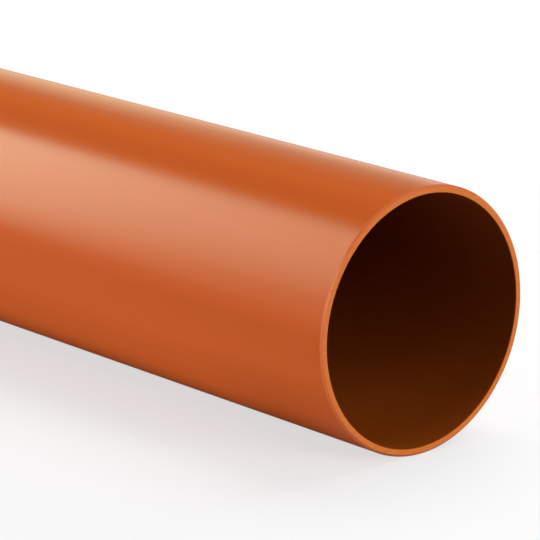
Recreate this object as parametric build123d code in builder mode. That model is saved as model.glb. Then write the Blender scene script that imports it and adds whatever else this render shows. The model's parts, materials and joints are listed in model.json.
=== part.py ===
"""Plain-ended PVC-U sewer pipe: one straight extruded tube, with both ends cut square and bevelled.

The pipe lies along X, with the origin at the middle of its length, on its axis. +Z is up.
All sizes are in millimetres.
"""

import os

from build123d import *

# The stock
length = 1000.0
outer_diameter = 110.0
wall = 3.2

# The cut ends: a bevel that leads the pipe past a sealing ring, and a broken edge on the bore
bevel = 0.8
bore_edge_break = 0.3

bore_diameter = outer_diameter - 2 * wall

# The tube, extruded both ways from the middle of its length
with BuildPart() as pipe:
    with BuildSketch(Plane.YZ):
        Circle(outer_diameter / 2)
        Circle(bore_diameter / 2, mode=Mode.SUBTRACT)
    extrude(amount=length / 2, both=True)

    # The widest circles are the two outer edges, and the narrowest are the mouths of the bore
    outer_edges = pipe.edges().filter_by(GeomType.CIRCLE).group_by(SortBy.RADIUS)[-1]
    chamfer(outer_edges, length=bevel)
    bore_edges = pipe.edges().filter_by(GeomType.CIRCLE).group_by(SortBy.RADIUS)[0]
    chamfer(bore_edges, length=bore_edge_break)

pipe.part.label = "pipe"

os.makedirs("parts", exist_ok=True)
export_step(pipe.part, "parts/pipe.step")
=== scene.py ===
"""Looks of a plain-ended PVC-U sewer pipe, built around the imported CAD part.

The pipe is one closed surface of revolution with its bevels, rounded edges and slight
out-of-roundness, dressed in four finishes: the extruded outside, the turned bevels, the sawn end
faces and the bore. It lies on a white floor under soft lamps. Lengths are in metres, in the CAD
part's frame: the pipe lies along X and +Z is up.
"""

import json
import logging
import math
from dataclasses import dataclass, field
from enum import Enum
from typing import Any, Mapping, Optional, Sequence, Union

import bpy
import numpy as np
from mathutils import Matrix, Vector


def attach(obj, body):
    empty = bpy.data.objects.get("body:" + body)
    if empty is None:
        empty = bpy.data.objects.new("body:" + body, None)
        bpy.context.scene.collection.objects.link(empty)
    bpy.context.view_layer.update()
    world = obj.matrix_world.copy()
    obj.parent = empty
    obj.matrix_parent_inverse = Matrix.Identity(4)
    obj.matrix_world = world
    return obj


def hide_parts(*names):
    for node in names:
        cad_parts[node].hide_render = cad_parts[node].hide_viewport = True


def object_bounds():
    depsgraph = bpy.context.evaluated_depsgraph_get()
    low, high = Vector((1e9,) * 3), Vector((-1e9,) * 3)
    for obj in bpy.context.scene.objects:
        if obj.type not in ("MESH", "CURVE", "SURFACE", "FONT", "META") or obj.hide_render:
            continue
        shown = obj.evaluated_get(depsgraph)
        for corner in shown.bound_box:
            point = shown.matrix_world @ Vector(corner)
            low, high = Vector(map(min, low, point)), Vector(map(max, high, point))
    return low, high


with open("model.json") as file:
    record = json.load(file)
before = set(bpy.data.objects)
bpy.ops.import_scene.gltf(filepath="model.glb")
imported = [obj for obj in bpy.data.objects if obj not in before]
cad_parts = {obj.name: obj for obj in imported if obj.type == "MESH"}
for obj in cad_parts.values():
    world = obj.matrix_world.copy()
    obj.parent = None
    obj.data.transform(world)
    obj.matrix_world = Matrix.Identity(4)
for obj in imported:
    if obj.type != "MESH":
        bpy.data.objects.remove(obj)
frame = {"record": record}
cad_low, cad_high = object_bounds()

MM = 0.001
NOISE_MEAN = 0.5

Colour = tuple[float, float, float]
Point = tuple[float, float, float]
Span = tuple[float, float]
Number = Union["Value", float]

log = logging.getLogger("sewer_pipe")


class Zone(Enum):
    """The stretches of the pipe's section. The value is the place of its material on the mesh."""

    OUTSIDE = 0
    BEVEL = 1
    SAWN_FACE = 2
    BORE = 3


class Axis(Enum):
    """The axes of the shared frame. The value is the name of the coordinate's socket."""

    ALONG = "X"
    ASIDE = "Y"
    UP = "Z"


class Ray(Enum):
    """The kinds of ray that the floor tells apart. The value is the name of Light Path's socket."""

    CAMERA = "Is Camera Ray"
    MIRRORED = "Is Glossy Ray"
    REFRACTED = "Is Transmission Ray"


class Operation(Enum):
    """The sums that shaders do. The value is Blender's name for it."""

    SUM = "ADD"
    DIFFERENCE = "SUBTRACT"
    PRODUCT = "MULTIPLY"
    QUOTIENT = "DIVIDE"
    SIZE = "ABSOLUTE"
    ROOT = "SQRT"
    LARGER = "MAXIMUM"


# Shader maths


class Value:
    """A number that varies over a surface: an output socket whose arithmetic adds Math nodes."""

    def __init__(self, graph: "Graph", socket: bpy.types.NodeSocket) -> None:
        """Wrap one output socket of a graph."""
        self.graph = graph
        self.socket = socket

    def _math(self, operation: Operation, *operands: Number) -> "Value":
        """Add a Math node and give its result."""
        settings, inputs = {"operation": operation.value}, dict(enumerate(operands))
        return Value(self.graph, self.graph.node("ShaderNodeMath", settings, inputs).outputs[0])

    def __add__(self, other: Number) -> "Value":
        """Sum of two values."""
        return self._math(Operation.SUM, self, other)

    __radd__ = __add__

    def __sub__(self, other: Number) -> "Value":
        """This value less another."""
        return self._math(Operation.DIFFERENCE, self, other)

    def __rsub__(self, other: Number) -> "Value":
        """A plain number less this value."""
        return self._math(Operation.DIFFERENCE, other, self)

    def __mul__(self, other: Number) -> "Value":
        """Product of two values."""
        return self._math(Operation.PRODUCT, self, other)

    __rmul__ = __mul__

    def __truediv__(self, other: Number) -> "Value":
        """This value divided by another."""
        return self._math(Operation.QUOTIENT, self, other)

    def __rtruediv__(self, other: Number) -> "Value":
        """A plain number divided by this value."""
        return self._math(Operation.QUOTIENT, other, self)

    def __abs__(self) -> "Value":
        """This value without its sign."""
        return self._math(Operation.SIZE, self)

    def root(self) -> "Value":
        """Square root of this value."""
        return self._math(Operation.ROOT, self)

    def larger(self, other: Number) -> "Value":
        """The larger of two values."""
        return self._math(Operation.LARGER, self, other)

    def smooth(self, low: float, high: float) -> "Value":
        """Ease from 0 to 1 between two levels.

        Args:
            low: The level at which the result leaves 0.
            high: The level at which it reaches 1. Where it is below low, the step is turned round.

        Returns:
            The eased step.
        """
        settings = {"interpolation_type": "SMOOTHSTEP"}
        inputs = {"Value": self, "From Min": low, "From Max": high}
        return Value(self.graph, self.graph.node("ShaderNodeMapRange", settings, inputs).outputs[0])


class Graph:
    """The nodes of one material or world."""

    def __init__(self, owner: Union[bpy.types.Material, bpy.types.World]) -> None:
        """Start an empty graph.

        Args:
            owner: The material or world that it belongs to.
        """
        owner.use_nodes = True
        self.owner = owner
        self.tree = owner.node_tree
        self.tree.nodes.clear()

    def node(
        self,
        kind: str,
        settings: Optional[Mapping[str, Any]] = None,
        inputs: Optional[Mapping[Union[str, int], Any]] = None,
    ) -> bpy.types.Node:
        """Add one node.

        Args:
            kind: Blender's name for the node's type.
            settings: Its own settings, which are set before its sockets.
            inputs: Values, sockets or plain numbers for its sockets, by name or place.

        Returns:
            The new node.
        """
        made = self.tree.nodes.new(kind)
        for name, setting in (settings or {}).items():
            setattr(made, name, setting)
        for key, given in (inputs or {}).items():
            source = given.socket if isinstance(given, Value) else given
            if isinstance(source, bpy.types.NodeSocket):
                self.tree.links.new(source, made.inputs[key])
            else:
                made.inputs[key].default_value = source
        return made

    def position(self, stretch: Point = (1.0, 1.0, 1.0)) -> bpy.types.NodeSocket:
        """Object coordinates, each multiplied by its own factor."""
        inputs = {"Vector": self.node("ShaderNodeTexCoord").outputs["Object"], "Scale": stretch}
        return self.node("ShaderNodeMapping", {"vector_type": "POINT"}, inputs).outputs[0]

    def coordinate(self, axis: Axis) -> Value:
        """One of the object's coordinates."""
        parts = self.node("ShaderNodeSeparateXYZ", inputs={"Vector": self.position()})
        return Value(self, parts.outputs[axis.value])

    def reached_by(self, ray: Ray) -> Value:
        """1 where a ray of one kind arrives, and 0 for the others."""
        return Value(self, self.node("ShaderNodeLightPath").outputs[ray.value])

    def noise(self, per_metre: Point, detail: float = 3.0) -> Value:
        """Cloudy noise from 0 to 1.

        Args:
            per_metre: How many features there are to the metre along X, Y and Z.
            detail: How many finer layers it has.

        Returns:
            The noise.
        """
        settings = {"noise_dimensions": "3D"}
        inputs = {"Vector": self.position(per_metre), "Scale": 1.0, "Detail": detail}
        return Value(self, self.node("ShaderNodeTexNoise", settings, inputs).outputs[0])

    def blend(self, share: Number, first: Colour, second: Colour) -> bpy.types.NodeSocket:
        """Mix two colours.

        Args:
            share: How much of the second there is, from 0 to 1.
            first: A colour.
            second: A colour.

        Returns:
            The mixed colour's socket.
        """
        # A Mix node's sockets for colours come after those for numbers and for vectors.
        factor_place, first_place, second_place, result_place = 0, 6, 7, 2
        inputs = {factor_place: share, first_place: (*first, 1.0), second_place: (*second, 1.0)}
        return self.node("ShaderNodeMix", {"data_type": "RGBA"}, inputs).outputs[result_place]

    def relief(self, height: Value, depth: float) -> bpy.types.NodeSocket:
        """Normals of a surface that a pattern raises, with its 1 so many metres above its 0."""
        inputs = {"Strength": 1.0, "Distance": depth, "Height": height}
        return self.node("ShaderNodeBump", inputs=inputs).outputs[0]

    def mixed(self, share: Number, first: bpy.types.Node, second: bpy.types.Node) -> bpy.types.Node:
        """Mix two shaders, with a share of the second from 0 to 1."""
        inputs = {0: share, 1: first.outputs[0], 2: second.outputs[0]}
        return self.node("ShaderNodeMixShader", inputs=inputs)

    def close(self, surface: bpy.types.Node) -> None:
        """Send a shader to the owner's output."""
        kind = "World" if isinstance(self.owner, bpy.types.World) else "Material"
        self.node(f"ShaderNodeOutput{kind}", inputs={"Surface": surface.outputs[0]})


Pattern = tuple[bpy.types.NodeSocket, Value, bpy.types.NodeSocket]


# Finishes of the plastic


@dataclass(frozen=True)
class PipeFinish:
    """What one zone of the pipe looks like. A subclass gives its pattern."""

    name: str
    colour: Colour
    spread: float
    roughness: float
    gloss: float = 0.5
    refraction: float = 1.3

    def shades(self) -> list[Colour]:
        """The colour, deeper and lighter by the spread."""
        factors = (1.0 - self.spread, 1.0 + self.spread)
        return [tuple(channel * factor for channel in self.colour) for factor in factors]

    def material(self) -> bpy.types.Material:
        """Make the finish's material.

        Returns:
            A material with one Principled shader, which takes colour, roughness and normal from
            the pattern.
        """
        made = bpy.data.materials.new(self.name)
        graph = Graph(made)
        colour, roughness, normal = self.pattern(graph)
        inputs = {
            "Base Color": colour,
            "Roughness": roughness,
            "Normal": normal,
            "IOR": self.refraction,
            "Specular IOR Level": self.gloss,
        }
        graph.close(graph.node("ShaderNodeBsdfPrincipled", inputs=inputs))
        return made

    def pattern(self, graph: Graph) -> Pattern:
        """Colour, roughness and normal over the surface."""
        raise NotImplementedError


@dataclass(frozen=True)
class ExtrudedSkin(PipeFinish):
    """The outside as it leaves the die: faint streaks and die lines along it, and handling rubs."""

    name: str = "extruded_skin"
    colour: Colour = (0.462, 0.081, 0.0116)
    spread: float = 0.05
    roughness: float = 0.25
    streaks_per_metre: Point = (1.5, 55.0, 55.0)
    streak_share: float = 0.8
    streak_dulling: float = 0.0075
    die_lines_per_metre: Point = (3.0, 400.0, 400.0)
    die_line_depth: float = 0.003 * MM
    shade_levels: Span = (0.3, 0.7)
    rubs_per_metre: Point = (7.0, 30.0, 30.0)
    rub_levels: Span = (0.5, 0.8)
    rub_dulling: float = 0.015

    def pattern(self, graph: Graph) -> Pattern:
        """Streaks and die lines shade the colour, die lines raise the surface, rubs dull it.

        Args:
            graph: The material's graph.

        Returns:
            Colour, roughness and normal.
        """
        streaks = graph.noise(self.streaks_per_metre)
        die_lines = graph.noise(self.die_lines_per_metre, detail=2.0)
        rubs = graph.noise(self.rubs_per_metre).smooth(*self.rub_levels)
        shade = streaks * self.streak_share + die_lines * (1.0 - self.streak_share)
        colour = graph.blend(shade.smooth(*self.shade_levels), *self.shades())
        dulling = self.streak_dulling * (streaks - NOISE_MEAN) + self.rub_dulling * rubs
        return colour, self.roughness + dulling, graph.relief(die_lines, self.die_line_depth)


@dataclass(frozen=True)
class TurnedBevel(PipeFinish):
    """The bevels: fine turning marks round the pipe, smoother and glossier than the sawn face, and
    lighter than the outside as a painted highlight.
    """

    name: str = "turned_bevel"
    # Lighter than the outside's plastic: a painted highlight on the bevels.
    colour: Colour = (0.525, 0.101, 0.0155)
    spread: float = 0.05
    roughness: float = 0.3
    gloss: float = 1.0
    refraction: float = 1.5
    marks_per_metre: Point = (6000.0, 60.0, 60.0)
    mark_depth: float = 0.006 * MM
    mark_dulling: float = 0.1

    def pattern(self, graph: Graph) -> Pattern:
        """Turning marks shade, dull and raise the surface.

        Args:
            graph: The material's graph.

        Returns:
            Colour, roughness and normal.
        """
        marks = graph.noise(self.marks_per_metre, detail=2.0)
        colour = graph.blend(marks, *self.shades())
        roughness = self.roughness + self.mark_dulling * marks
        return colour, roughness, graph.relief(marks, self.mark_depth)


@dataclass(frozen=True)
class SawnFace(PipeFinish):
    """The flat of a cut end: paler, partly the sawn plastic's own tone and partly painted light on
    the end face, and duller, with the lines that the saw leaves.
    """

    name: str = "sawn_face"
    # Paler than the outside's plastic: partly the sawn face's own tone, partly painted light on the
    # end face.
    colour: Colour = (0.604, 0.159, 0.0305)
    spread: float = 0.07
    roughness: float = 0.5
    saw_lines_per_metre: Point = (1.0, 90.0, 1600.0)
    saw_line_depth: float = 0.006 * MM
    saw_line_dulling: float = 0.15
    shade_levels: Span = (0.25, 0.75)

    def pattern(self, graph: Graph) -> Pattern:
        """Saw lines shade, dull and raise the surface.

        Args:
            graph: The material's graph.

        Returns:
            Colour, roughness and normal.
        """
        lines = graph.noise(self.saw_lines_per_metre)
        colour = graph.blend(lines.smooth(*self.shade_levels), *self.shades())
        roughness = self.roughness + self.saw_line_dulling * lines
        return colour, roughness, graph.relief(lines, self.saw_line_depth)


@dataclass(frozen=True)
class BoreWall(PipeFinish):
    """The inside and its broken edges: darker as painted shade in the bore, and duller, with the
    mandrel's lines along it.
    """

    name: str = "bore_wall"
    # Darker than the outside's plastic: painted shade inside the bore.
    colour: Colour = (0.27, 0.056, 0.005)
    spread: float = 0.06
    roughness: float = 0.5
    gloss: float = 0.05
    lines_per_metre: Point = (4.0, 260.0, 260.0)
    line_depth: float = 0.01 * MM
    line_dulling: float = 0.08

    def pattern(self, graph: Graph) -> Pattern:
        """Lines along the bore shade, dull and raise the surface.

        Args:
            graph: The material's graph.

        Returns:
            Colour, roughness and normal.
        """
        lines = graph.noise(self.lines_per_metre)
        colour = graph.blend(lines, *self.shades())
        roughness = self.roughness + self.line_dulling * lines
        return colour, roughness, graph.relief(lines, self.line_depth)


# Meshes


def grid_faces(rows: int, columns: int, closed: bool) -> np.ndarray:
    """Quads of a grid of vertices that is numbered row by row.

    Face (i, j) joins vertices (i, j), (i, j + 1), (i + 1, j + 1) and (i + 1, j), counted round
    where the grid closes.

    Args:
        rows: How many rows of vertices there are.
        columns: How many vertices each row has.
        closed: Whether the last row joins the first and the last column the first.

    Returns:
        An array of four vertex numbers for each face.
    """
    row_starts = np.arange(rows if closed else rows - 1)
    column_starts = np.arange(columns if closed else columns - 1)
    i, j = np.meshgrid(row_starts, column_starts, indexing="ij")
    this_row, next_row = i * columns, (i + 1) % rows * columns
    next_j = (j + 1) % columns
    corners = [this_row + j, this_row + next_j, next_row + next_j, next_row + j]
    return np.stack(corners, axis=-1).reshape(-1, 4)


def mesh_object(name: str, points: np.ndarray, faces: np.ndarray) -> bpy.types.Object:
    """Put a smooth-shaded quad mesh into the scene, with its place in its vertices.

    Args:
        name: The object's name.
        points: Coordinates in metres, with the last axis holding x, y and z.
        faces: Vertex numbers, four for each face, in the order that points outwards.

    Returns:
        The new object, at the origin.
    """
    mesh = bpy.data.meshes.new(name)
    mesh.vertices.add(points.size // 3)
    mesh.vertices.foreach_set("co", points.astype(np.float32).ravel())
    mesh.loops.add(faces.size)
    mesh.loops.foreach_set("vertex_index", faces.astype(np.int32).ravel())
    mesh.polygons.add(len(faces))
    mesh.polygons.foreach_set("loop_start", np.arange(0, faces.size, 4, dtype=np.int32))
    mesh.polygons.foreach_set("use_smooth", np.ones(len(faces), dtype=bool))
    mesh.update(calc_edges=True)
    mesh.validate()
    made = bpy.data.objects.new(name, mesh)
    bpy.context.scene.collection.objects.link(made)
    return made


# The pipe


@dataclass(frozen=True)
class SewerPipe:
    """The pipe: a tube along X, with a bevelled outer edge and a broken bore edge at each end."""

    length: float
    outer_radius: float
    bore_radius: float
    bevel: float
    bore_edge_break: float
    edge_round: float = 0.12 * MM
    round_steps: int = 5
    turns: int = 512
    wall_rings: int = 12
    face_rings: int = 8
    ring_gap: float = 0.02 * MM
    oval: float = 0.06 * MM
    sway: float = 0.04 * MM
    sway_lobes: int = 3
    finishes: Mapping[Zone, PipeFinish] = field(
        default_factory=lambda: {
            Zone.OUTSIDE: ExtrudedSkin(),
            Zone.BEVEL: TurnedBevel(),
            Zone.SAWN_FACE: SawnFace(),
            Zone.BORE: BoreWall(),
        }
    )

    @classmethod
    def from_record(cls, record: Mapping[str, Any]) -> "SewerPipe":
        """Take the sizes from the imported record.

        Args:
            record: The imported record, whose mounts give the walls' radii and lengths.

        Returns:
            The pipe at the CAD part's size.
        """
        mounts = {mount["name"]: mount for mount in record["mounts"]}
        outside, bore = mounts["outside"]["dims"], mounts["bore"]["dims"]
        length = mounts["end_face"]["pos_m"][0] - mounts["far_end_face"]["pos_m"][0]
        return cls(
            length=length,
            outer_radius=outside["r_mm"] * MM,
            bore_radius=bore["r_mm"] * MM,
            bevel=(length - outside["length_mm"] * MM) / 2,
            bore_edge_break=(length - bore["length_mm"] * MM) / 2,
        )

    def wall_distances(self, reach: float) -> np.ndarray:
        """Distances of a wall's rings from its rounded edge.

        They grow by one ratio from ring_gap to one even step, and then go on by even steps.

        Args:
            reach: The distance from the edge to the middle of the pipe.

        Returns:
            The distances, from the edge inwards.
        """
        even_step = reach / self.wall_rings
        growing = np.geomspace(self.ring_gap, even_step, self.wall_rings, endpoint=False)
        return np.concatenate([growing, np.linspace(even_step, reach, self.wall_rings)])

    def rounded(self, before: np.ndarray, corner: np.ndarray, after: np.ndarray) -> np.ndarray:
        """Round one corner of the section.

        The curve is a parabola that leaves the line from before and meets the line to after, both
        at edge_round from the corner: (1 - t)^2 times its start, plus 2 t (1 - t) times the corner,
        plus t^2 times its end.

        Args:
            before: A point of the section before the corner, as x and radius.
            corner: The corner.
            after: A point after it.

        Returns:
            The curve's points, one row each.
        """
        start = corner + self.edge_round * (before - corner) / np.linalg.norm(before - corner)
        end = corner + self.edge_round * (after - corner) / np.linalg.norm(after - corner)
        t = np.linspace(0.0, 1.0, self.round_steps)[:, None]
        return (1 - t) ** 2 * start + 2 * t * (1 - t) * corner + t**2 * end

    def half_section(self) -> tuple[np.ndarray, list[Zone]]:
        """The section's outline, from the middle of the outside round one end to that of the bore.

        It runs straight between four rounded corners: the shoulder where the bevel starts, the rim
        where it meets the flat, the lip where the flat ends and the throat where the bore starts.

        Returns:
            Points as x and radius, one row each, and the zone of the stretch that starts at each.
        """
        end, outer, bore = self.length / 2, self.outer_radius, self.bore_radius
        corners = np.array(
            [
                (0.0, outer),
                (end - self.bevel, outer),
                (end, outer - self.bevel),
                (end, bore + self.bore_edge_break),
                (end - self.bore_edge_break, bore),
                (0.0, bore),
            ]
        )
        triples = zip(corners[:-2], corners[1:-1], corners[2:])
        shoulder, rim, lip, throat = (self.rounded(*triple) for triple in triples)
        outside_x = shoulder[0, 0] - self.wall_distances(shoulder[0, 0])[::-1]
        bore_x = throat[-1, 0] - self.wall_distances(throat[-1, 0])
        face_radii = np.linspace(rim[-1, 1], lip[0, 1], self.face_rings)[1:-1]
        stretches = [
            (np.column_stack([outside_x, np.full_like(outside_x, outer)]), Zone.OUTSIDE),
            (shoulder, Zone.BEVEL),
            (rim[:-1], Zone.BEVEL),
            (rim[-1:], Zone.SAWN_FACE),
            (np.column_stack([np.full_like(face_radii, end), face_radii]), Zone.SAWN_FACE),
            (lip[:-1], Zone.SAWN_FACE),
            (lip[-1:], Zone.BORE),
            (throat, Zone.BORE),
            (np.column_stack([bore_x, np.full_like(bore_x, bore)]), Zone.BORE),
        ]
        zones = [zone for points, zone in stretches for _ in points]
        return np.concatenate([points for points, _ in stretches]), zones

    def section(self) -> tuple[np.ndarray, np.ndarray]:
        """The whole closed outline: the near half, then its mirror image in x back to the start.

        Returns:
            Points as x and radius, one row each, and the place of the material for the stretch
            that starts at each.
        """
        near, zones = self.half_section()
        far = near[-2:0:-1] * (-1.0, 1.0)
        near_slots = [zone.value for zone in zones]
        far_slots = near_slots[-3::-1]
        slots = np.array([*near_slots[:-1], Zone.BORE.value, *far_slots])
        return np.concatenate([near, far]), slots

    def surface(self) -> tuple[np.ndarray, np.ndarray, np.ndarray]:
        """Carry the section round the axis.

        A vertex lies at x, r cos a and r sin a, for a point (x, r) of the section and an angle a.
        The radius is larger by oval times cos 2a, and by sway times the cosine of a wave with
        sway_lobes crests, which turns along the pipe. The grid's faces are turned round, since with
        this order of points they would face into the plastic.

        Returns:
            Coordinates, faces and the place of each face's material.
        """
        outline, slots = self.section()
        angle = np.linspace(0.0, 2 * math.pi, self.turns, endpoint=False)[:, None]
        x, radius = outline[None, :, 0], outline[None, :, 1]
        wave = self.sway_lobes * angle + 2 * math.pi * x / self.length
        radius = radius + self.oval * np.cos(2 * angle) + self.sway * np.cos(wave)
        across, up = radius * np.cos(angle), radius * np.sin(angle)
        points = np.stack([np.broadcast_to(x, radius.shape), across, up], axis=-1)
        faces = grid_faces(self.turns, len(outline), closed=True)[:, ::-1]
        return points, faces, np.tile(slots, self.turns)

    def build(self) -> bpy.types.Object:
        """Make the pipe's mesh.

        Returns:
            The pipe, without materials.
        """
        points, faces, slots = self.surface()
        pipe = mesh_object("sewer_pipe", points, faces)
        pipe.data.polygons.foreach_set("material_index", slots.astype(np.int32))
        return pipe

    def dress(self, pipe: bpy.types.Object) -> None:
        """Give the pipe its finishes, in the order of the zones."""
        for zone in Zone:
            pipe.data.materials.append(self.finishes[zone].material())


# The studio


@dataclass(frozen=True)
class StudioFloor:
    """A wide white sheet that turns up at its border, so that no horizon shows from low down."""

    level: float
    pipe_end: float
    half_width: float = 16.0
    flat_radius: float = 10.0
    rise: float = 2.0
    steps: int = 81
    paper: Colour = (0.8, 0.8, 0.8)
    sent_on: Colour = (0.3, 0.3, 0.3)
    near_white: float = 0.65
    shadow_reach: Span = (0.07, 0.38)
    mirror_reach: Span = (0.5, 2.0)

    def build(self) -> bpy.types.Object:
        """Make the sheet.

        Its height over a square grid is the level, plus the rise times an eased step,
        3 c^2 - 2 c^3, of the share c of the way from the edge of the flat to half the width.

        Returns:
            The sheet.
        """
        line = np.linspace(-self.half_width, self.half_width, self.steps)
        y, x = np.meshgrid(line, line, indexing="ij")
        past_flat = np.hypot(x, y) - self.flat_radius
        climb = np.clip(past_flat / (self.half_width - self.flat_radius), 0.0, 1.0)
        z = self.level + self.rise * climb**2 * (3 - 2 * climb)
        faces = grid_faces(self.steps, self.steps, closed=False)
        floor = mesh_object("studio_floor", np.stack([x, y, z], axis=-1), faces)
        floor.data.materials.append(self.material())
        return floor

    def material(self) -> bpy.types.Material:
        """Make the sheet's material.

        It is white paper to the camera, and grey for the light that it sends on, so that little of
        that goes into the bore. Where the camera, a reflection or a refraction looks at it, it
        turns to plain white away from the pipe, and near the pipe it keeps the shadow. Reflections
        find the white further out than the camera does.

        Returns:
            The material.
        """
        made = bpy.data.materials.new("white_sheet")
        graph = Graph(made)
        camera, mirrored, refracted = (graph.reached_by(ray) for ray in Ray)
        distance = self.distance_from_pipe(graph)
        seen_white = camera * distance.smooth(*self.shadow_reach).larger(self.near_white)
        mirrored_white = mirrored.larger(refracted) * distance.smooth(*self.mirror_reach)
        grey, paper = (
            graph.node("ShaderNodeBsdfDiffuse", inputs={"Color": (*colour, 1.0)})
            for colour in (self.sent_on, self.paper)
        )
        sheet = graph.mixed(camera, grey, paper)
        glow = graph.node("ShaderNodeEmission", inputs={"Strength": 1.0})
        graph.close(graph.mixed(seen_white.larger(mirrored_white), sheet, glow))
        return made

    def distance_from_pipe(self, graph: Graph) -> Value:
        """Distance over the floor from the line that the pipe lies on.

        Args:
            graph: The sheet's graph.

        Returns:
            The distance in metres, round either end too.
        """
        aside = graph.coordinate(Axis.ASIDE)
        past_end = (abs(graph.coordinate(Axis.ALONG)) - self.pipe_end).larger(0.0)
        return (aside * aside + past_end * past_end).root()


@dataclass(frozen=True)
class GlowStrip:
    """A curved sheet of diffuser beside the pipe, which shows in its gloss as a long highlight.

    It is part of a cylinder round the pipe's axis. Angles are in degrees, up from the level of the
    axis on the -Y side and over the top. The sheet is clear at one angle, glows fully from the next
    one on and ends at the last. Along the pipe it fades in over fade_reach. Over left_reach it
    grows brighter by the share left_gain, and its clear edge goes down by left_drop.
    """

    name: str
    clear_angle: float
    full_angle: float
    end_angle: float
    radiance: float
    colour: Colour
    left_gain: float = 0.0
    left_drop: float = 0.0
    radius: float = 1.0
    reach: Span = (-1.7, -0.12)
    fade_reach: Span = (-0.12, -0.3)
    left_reach: Span = (-0.6, -0.9)
    steps_along: int = 2
    steps_round: int = 49

    def build(self) -> bpy.types.Object:
        """Make the strip, which the camera doesn't see and which lights nothing but the gloss.

        A vertex at x and angle a lies at x, -radius cos a and radius sin a.

        Returns:
            The strip.
        """
        start_angle = self.clear_angle - math.degrees(math.asin(self.left_drop / self.radius))
        angles = np.radians(np.linspace(start_angle, self.end_angle, self.steps_round))
        places = np.linspace(*self.reach, self.steps_along)
        angle, x = np.meshgrid(angles, places, indexing="ij")
        aside, up = -self.radius * np.cos(angle), self.radius * np.sin(angle)
        faces = grid_faces(self.steps_round, self.steps_along, closed=False)
        strip = mesh_object(self.name, np.stack([x, aside, up], axis=-1), faces)
        strip.data.materials.append(self.material())
        strip.visible_camera = False
        strip.visible_diffuse = False
        strip.visible_shadow = False
        return strip

    def material(self) -> bpy.types.Material:
        """Make the strip's glow, which fades to clear at its clear angle and over fade_reach.

        Returns:
            The material.
        """
        made = bpy.data.materials.new(f"{self.name}_glow")
        graph = Graph(made)
        angles = (self.clear_angle, self.full_angle)
        heights = [self.radius * math.sin(math.radians(angle)) for angle in angles]
        along = graph.coordinate(Axis.ALONG)
        left = along.smooth(*self.left_reach)
        height = graph.coordinate(Axis.UP) + self.left_drop * left
        share = height.smooth(*heights) * along.smooth(*self.fade_reach)
        most_gain = 1.0 + self.left_gain
        gain = (1.0 + self.left_gain * left) / most_gain
        light = {"Color": (*self.colour, 1.0), "Strength": self.radiance * most_gain}
        glow = graph.node("ShaderNodeEmission", inputs=light)
        clear = graph.node("ShaderNodeBsdfTransparent")
        graph.close(graph.mixed(share * gain, clear, glow))
        return made


@dataclass(frozen=True)
class Softbox:
    """A rectangular lamp that is aimed at a point and doesn't show in the gloss."""

    name: str
    place: Point
    aim: Point
    size: Span
    radiance: float

    def build(self) -> bpy.types.Object:
        """Hang the lamp.

        Returns:
            The lamp's object.
        """
        lamp = bpy.data.lights.new(self.name, "AREA")
        lamp.shape = "RECTANGLE"
        lamp.size, lamp.size_y = self.size
        lamp.energy = self.radiance * math.pi * self.size[0] * self.size[1]
        made = bpy.data.objects.new(self.name, lamp)
        made.location = self.place
        made.rotation_mode = "QUATERNION"
        towards = Vector(self.aim) - Vector(self.place)
        made.rotation_quaternion = towards.to_track_quat("-Z", "Y")
        made.visible_camera = False
        made.visible_glossy = False
        bpy.context.scene.collection.objects.link(made)
        return made


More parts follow.
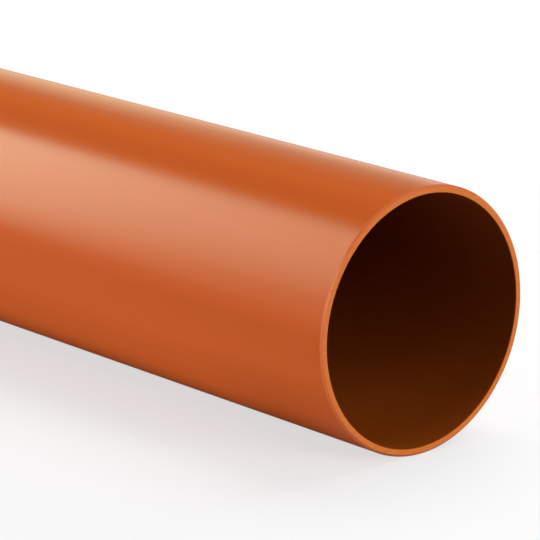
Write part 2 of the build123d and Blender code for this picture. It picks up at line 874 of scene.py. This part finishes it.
@dataclass(frozen=True)
class Studio:
    """The floor, the strips, the lamps and the sky round them."""

    floor: StudioFloor
    strips: Sequence[GlowStrip] = (
        GlowStrip(
            name="front_strip",
            clear_angle=4.0,
            full_angle=48.0,
            end_angle=80.4,
            radiance=5.6,
            colour=(0.77, 1.0, 0.76),
            left_gain=0.7,
            left_drop=0.32,
        ),
        GlowStrip(
            name="back_strip",
            clear_angle=122.4,
            full_angle=159.0,
            end_angle=182.0,
            radiance=0.72,
            colour=(1.0, 0.96, 0.62),
            left_gain=0.7,
        ),
        GlowStrip(
            name="top_strip",
            clear_angle=105.6,
            full_angle=112.0,
            end_angle=134.7,
            radiance=0.9,
            colour=(1.0, 0.36, 0.1),
        ),
        GlowStrip(
            name="mouth_strip",
            clear_angle=-3.0,
            full_angle=17.0,
            end_angle=52.0,
            radiance=4.4,
            colour=(0.8, 1.0, 0.72),
            reach=(1.2, 1.6),
            fade_reach=(1.2, 1.25),
        ),
        GlowStrip(
            name="rear_strip",
            clear_angle=162.0,
            full_angle=150.0,
            end_angle=128.0,
            radiance=4.0,
            colour=(1.0, 1.0, 1.0),
            radius=4.0,
            reach=(3.1, 5.4),
            fade_reach=(3.1, 3.7),
        ),
    )
    lamps: Sequence[Softbox] = (
        Softbox(
            name="front",
            place=(-0.3, -2.4, 0.1),
            aim=(0.2, 0.0, 0.0),
            size=(1.6, 0.3),
            radiance=40.5,
        ),
        Softbox(
            name="belly_fill",
            place=(-0.16, -0.065, -0.0545),
            aim=(-0.16, -0.065, 1.0),
            size=(1.2, 0.05),
            radiance=0.46,
        ),
        Softbox(
            name="overhead",
            place=(0.0, 0.9, 2.0),
            aim=(0.1, 0.0, 0.0),
            size=(1.8, 1.4),
            radiance=4.6,
        ),
        Softbox(
            name="back_fill",
            place=(-0.3, 1.9, 1.0),
            aim=(0.0, 0.0, 0.0),
            size=(2.0, 1.0),
            radiance=4.0,
        ),
        Softbox(
            name="mouth_high",
            place=(3.3, 0.3, 0.85),
            aim=(0.5, 0.0, 0.0),
            size=(1.5, 0.8),
            radiance=20.3,
        ),
        Softbox(
            name="mouth_top",
            place=(1.75, 0.1, 1.65),
            aim=(0.5, 0.0, 0.0),
            size=(0.8, 0.8),
            radiance=2.2,
        ),
        Softbox(
            name="far_mouth",
            place=(-3.3, -0.3, 0.85),
            aim=(-0.5, 0.0, 0.0),
            size=(1.5, 0.8),
            radiance=14.0,
        ),
    )
    sky_strength: float = 0.05

    def build(self) -> None:
        """Lay the floor, hang the strips and lamps, light the sky and set a plain view."""
        self.floor.build()
        for light in (*self.strips, *self.lamps):
            light.build()
        bpy.context.scene.world = self.sky()
        bpy.context.scene.view_settings.view_transform = "Standard"

    def sky(self) -> bpy.types.World:
        """Make the faint light from all round.

        Returns:
            The world.
        """
        world = bpy.data.worlds.new("even_light")
        graph = Graph(world)
        graph.close(graph.node("ShaderNodeBackground", inputs={"Strength": self.sky_strength}))
        return world


@dataclass(frozen=True)
class PhotoCamera:
    """The camera, at the photograph's angle.

    Its place follows from where the middle of the pipe's mouth is in the picture, and how far off.
    Angles are in degrees, and the lens and its sensor in millimetres.
    """

    mouth: Point
    mouth_pixel: Span = (424.25, 321.86)
    mouth_depth: float = 1.28
    azimuth: float = 48.36
    elevation: float = 15.62
    lens: float = 216.47
    sensor: float = 36.0
    picture: float = 540.0

    def build(self) -> bpy.types.Object:
        """Place the camera and make it the scene's.

        Returns:
            The camera's object.
        """
        camera = bpy.data.cameras.new("photo_camera")
        camera.lens, camera.sensor_width = self.lens, self.sensor
        made = bpy.data.objects.new("photo_camera", camera)
        turn, tilt = math.radians(self.azimuth), math.radians(self.elevation)
        level = math.cos(tilt)
        back = Vector((math.sin(turn) * level, -math.cos(turn) * level, math.sin(tilt)))
        right = Vector((math.cos(turn), math.sin(turn), 0.0))
        up = back.cross(right)
        metres_per_pixel = self.mouth_depth * self.sensor / (self.lens * self.picture)
        middle = self.picture / 2
        across, down = ((pixel - middle) * metres_per_pixel for pixel in self.mouth_pixel)
        made.location = Vector(self.mouth) + back * self.mouth_depth - right * across + up * down
        made.rotation_mode = "QUATERNION"
        made.rotation_quaternion = (-back).to_track_quat("-Z", "Y")
        bpy.context.scene.collection.objects.link(made)
        bpy.context.scene.camera = made
        return made


def main() -> None:
    """Build the pipe, then the studio and the camera."""
    logging.basicConfig(level=logging.INFO, format="%(name)s: %(message)s")
    pipe = SewerPipe.from_record(frame["record"])
    piece = pipe.build()
    pipe.dress(piece)
    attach(piece, "root")
    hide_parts("pipe")
    log.info("%s: %d faces", piece.name, len(piece.data.polygons))
    Studio(StudioFloor(level=cad_low.z, pipe_end=pipe.length / 2)).build()
    PhotoCamera(mouth=(pipe.length / 2, 0.0, 0.0)).build()


if __name__ == "__main__":
    main()
